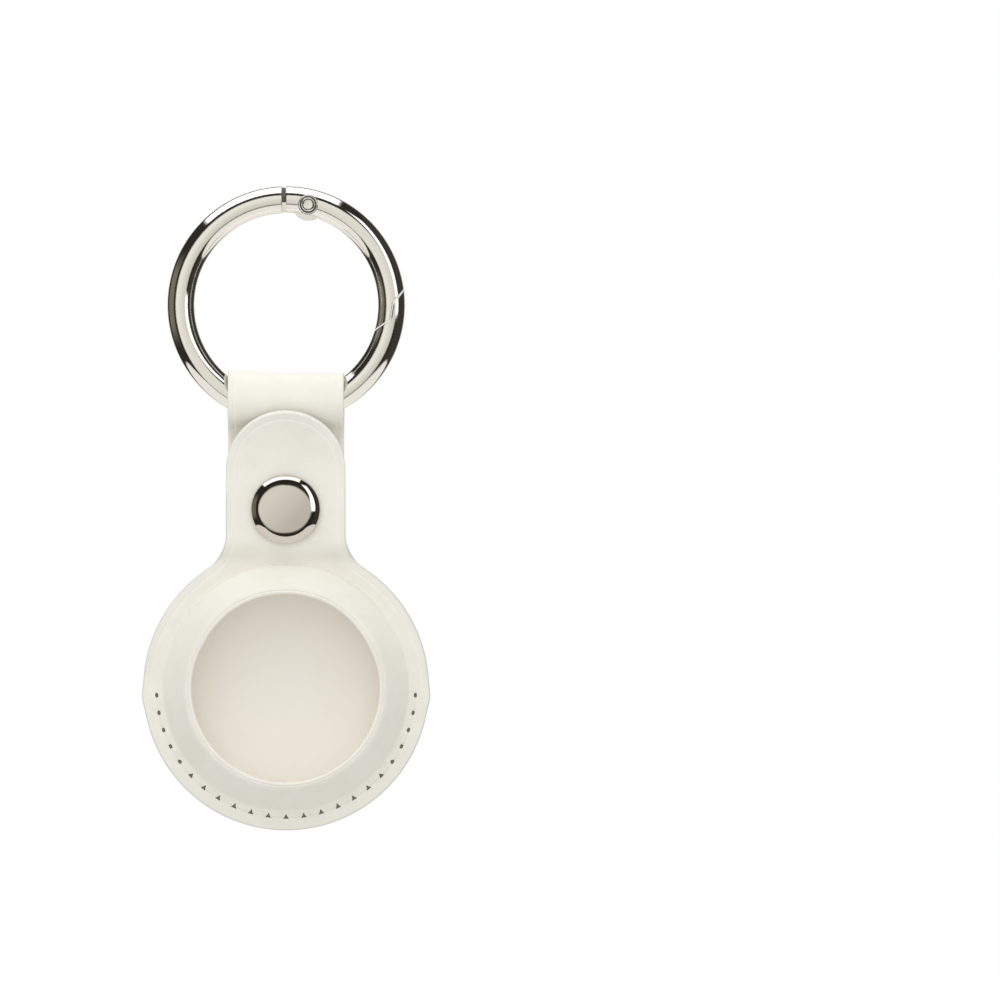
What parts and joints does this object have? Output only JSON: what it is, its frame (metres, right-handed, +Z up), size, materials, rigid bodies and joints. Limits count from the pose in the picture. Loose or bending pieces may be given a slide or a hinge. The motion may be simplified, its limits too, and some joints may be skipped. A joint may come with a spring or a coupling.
{
  "type": "tracker tag holder",
  "caption": "Leather holder for a round tracker tag, with a windowed snap pocket and a strap loop round a spring-gate ring.",
  "frame": {"origin": "the point inside the top of the ring that rests on a hook, with the holder hanging below it", "axes": "+Z up, the windowed front faces -Y, +X to the right as seen from the front"},
  "size_m": [0.042, 0.011, 0.0948],
  "materials": {
    "chrome": "polished nickel plate",
    "spring_steel": "drawn wire",
    "leather": "smooth ivory, fine grain, satin",
    "thread": "waxed thread",
    "snap_cap": "polished nickel plate",
    "snap_inner": "satin nickel plate"
  },
  "bodies": {
    "ring": {"ring_body": "chrome"},
    "gate": {"ring_gate": "chrome", "hinge_rivet": "chrome", "gate_spring": "spring_steel"},
    "holder": {"back_panel": "leather", "front_panel": "leather", "flap_bend": "leather", "stitching": "thread", "back_cap": "snap_cap", "snap_stud": "snap_inner"},
    "flap": {"front_flap": "leather", "front_cap": "snap_cap", "snap_socket": "snap_inner", "socket_spring": "spring_steel"}
  },
  "joints": [
    {"name": "gate_open", "type": "hinge", "parent": "ring", "child": "gate", "pos_m": [0.00327, 0, 0.00124], "axis": [0, 1, 0], "range_deg": [0, 32], "stiffness_Nm_per_rad": 0.03, "springref_deg": -28.65, "deforming": ["gate_spring"]},
    {"name": "ring_swing", "type": "hinge", "parent": "ring", "child": "holder", "pos_m": [0, 0, -0.02751], "axis": [1, 0, 0], "range_deg": [-110, 150]},
    {"name": "flap_open", "type": "hinge", "parent": "holder", "child": "flap", "pos_m": [0, 0, -0.06978], "axis": [1, 0, 0], "range_deg": [0, 45], "stiffness_Nm_per_rad": 0.005, "springref_deg": -5.73, "deforming": ["flap_bend", "socket_spring"]}
  ]
}
